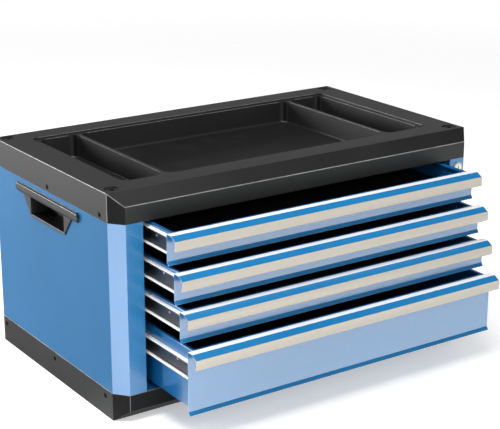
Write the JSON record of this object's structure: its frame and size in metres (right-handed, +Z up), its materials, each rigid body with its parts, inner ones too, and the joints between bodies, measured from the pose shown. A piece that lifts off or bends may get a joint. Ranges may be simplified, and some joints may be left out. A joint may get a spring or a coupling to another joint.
{
  "type": "portable tool box with drawers",
  "caption": "Low portable tool chest: folded steel cabinet with slide-out drawers, a moulded top with open compartments, a moulded base, side grips and a lock.",
  "frame": {"origin": "centre of the base moulding's underside", "axes": "+X along the front towards the lock, +Y from the drawers' fronts to the back, +Z up"},
  "size_m": [0.699, 0.5424, 0.36],
  "materials": {
    "moulding": "fine-grained black moulding",
    "blue_steel": "satin mid-blue powder coat",
    "inner_steel": "satin mid-blue powder coat",
    "dark_steel": "satin dark blue powder coat",
    "grip": "fine-grained dark grey moulding",
    "screw": "black oxide",
    "lock_ring": "black satin",
    "lock_face": "polished, lightly scratched",
    "zinc": "zinc plated",
    "guide": "plain black moulding",
    "slide_steel": "zinc plated, lightly greased",
    "drawer_slide": "zinc plated, bright lips",
    "cage": "pressed steel cage with polished balls",
    "drawer_steel": "satin blue powder coat",
    "front_steel": "satin blue powder coat",
    "strip": "warm silver anodised",
    "mat": "fine ribbed black mat"
  },
  "bodies": {
    "cabinet": {"plinth": "moulding", "floor_panel": "inner_steel", "left_side_panel": "blue_steel", "right_side_panel": "blue_steel", "back_panel": "blue_steel", "top_panel": "inner_steel", "left_upright": "dark_steel", "right_upright": "dark_steel", "top_tray": "moulding", "left_handle": "grip", "right_handle": "grip", "tray_screws": "screw", "left_screws": "screw", "right_screws": "screw", "lock_housing": "lock_ring", "lock_bar_guides": "guide", "cabinet_rail_1_left": "slide_steel", "cabinet_rail_1_right": "slide_steel", "cabinet_rail_2_left": "slide_steel", "cabinet_rail_2_right": "slide_steel", "cabinet_rail_3_left": "slide_steel", "cabinet_rail_3_right": "slide_steel", "cabinet_rail_4_left": "slide_steel", "cabinet_rail_4_right": "slide_steel"},
    "drawer_1": {"drawer_1_box": "drawer_steel", "drawer_1_front": "front_steel", "drawer_1_strip": "strip", "drawer_1_mat": "mat", "drawer_1_rail_left": "drawer_slide", "drawer_1_rail_right": "drawer_slide"},
    "ball_cages_1": {"ball_cage_1_left": "cage", "ball_cage_1_right": "cage"},
    "drawer_2": {"drawer_2_box": "drawer_steel", "drawer_2_front": "front_steel", "drawer_2_strip": "strip", "drawer_2_mat": "mat", "drawer_2_rail_left": "drawer_slide", "drawer_2_rail_right": "drawer_slide"},
    "ball_cages_2": {"ball_cage_2_left": "cage", "ball_cage_2_right": "cage"},
    "drawer_3": {"drawer_3_box": "drawer_steel", "drawer_3_front": "front_steel", "drawer_3_strip": "strip", "drawer_3_mat": "mat", "drawer_3_rail_left": "drawer_slide", "drawer_3_rail_right": "drawer_slide"},
    "ball_cages_3": {"ball_cage_3_left": "cage", "ball_cage_3_right": "cage"},
    "drawer_4": {"drawer_4_box": "drawer_steel", "drawer_4_front": "front_steel", "drawer_4_strip": "strip", "drawer_4_mat": "mat", "drawer_4_rail_left": "drawer_slide", "drawer_4_rail_right": "drawer_slide", "drawer_4_catch": "drawer_steel"},
    "ball_cages_4": {"ball_cage_4_left": "cage", "ball_cage_4_right": "cage"},
    "lock_plug": {"lock_plug": "lock_face", "lock_cam": "zinc"},
    "lock_bar": {"lock_bar": "zinc"}
  },
  "joints": [
    {"name": "drawer_1_slide", "type": "slide", "parent": "cabinet", "child": "drawer_1", "axis": [0, -1, 0], "range_m": [-0.0825, 0.1775]},
    {"name": "ball_cages_1_slide", "type": "slide", "parent": "cabinet", "child": "ball_cages_1", "axis": [0, -1, 0], "range_m": [-0.04125, 0.08875]},
    {"name": "drawer_2_slide", "type": "slide", "parent": "cabinet", "child": "drawer_2", "axis": [0, -1, 0], "range_m": [-0.101, 0.159]},
    {"name": "ball_cages_2_slide", "type": "slide", "parent": "cabinet", "child": "ball_cages_2", "axis": [0, -1, 0], "range_m": [-0.0505, 0.0795]},
    {"name": "drawer_3_slide", "type": "slide", "parent": "cabinet", "child": "drawer_3", "axis": [0, -1, 0], "range_m": [-0.115, 0.145]},
    {"name": "ball_cages_3_slide", "type": "slide", "parent": "cabinet", "child": "ball_cages_3", "axis": [0, -1, 0], "range_m": [-0.0575, 0.0725]},
    {"name": "drawer_4_slide", "type": "slide", "parent": "cabinet", "child": "drawer_4", "axis": [0, -1, 0], "range_m": [-0.1355, 0.1245]},
    {"name": "ball_cages_4_slide", "type": "slide", "parent": "cabinet", "child": "ball_cages_4", "axis": [0, -1, 0], "range_m": [-0.06775, 0.06225]},
    {"name": "lock_turn", "type": "hinge", "parent": "cabinet", "child": "lock_plug", "pos_m": [0.3137, -0.2035, 0.299], "axis": [0, 1, 0], "range_deg": [0, 90]},
    {"name": "lock_bar_lift", "type": "slide", "parent": "cabinet", "child": "lock_bar", "axis": [0, 0, 1], "range_m": [0, 0.0099]}
  ],
  "couplings": [
    {"joint": "ball_cages_1_slide", "follows": "drawer_1_slide", "ratio": 0.5},
    {"joint": "ball_cages_2_slide", "follows": "drawer_2_slide", "ratio": 0.5},
    {"joint": "ball_cages_3_slide", "follows": "drawer_3_slide", "ratio": 0.5},
    {"joint": "ball_cages_4_slide", "follows": "drawer_4_slide", "ratio": 0.5},
    {"joint": "lock_turn", "follows": "lock_bar_lift", "rad_per_m": 158.6}
  ]
}
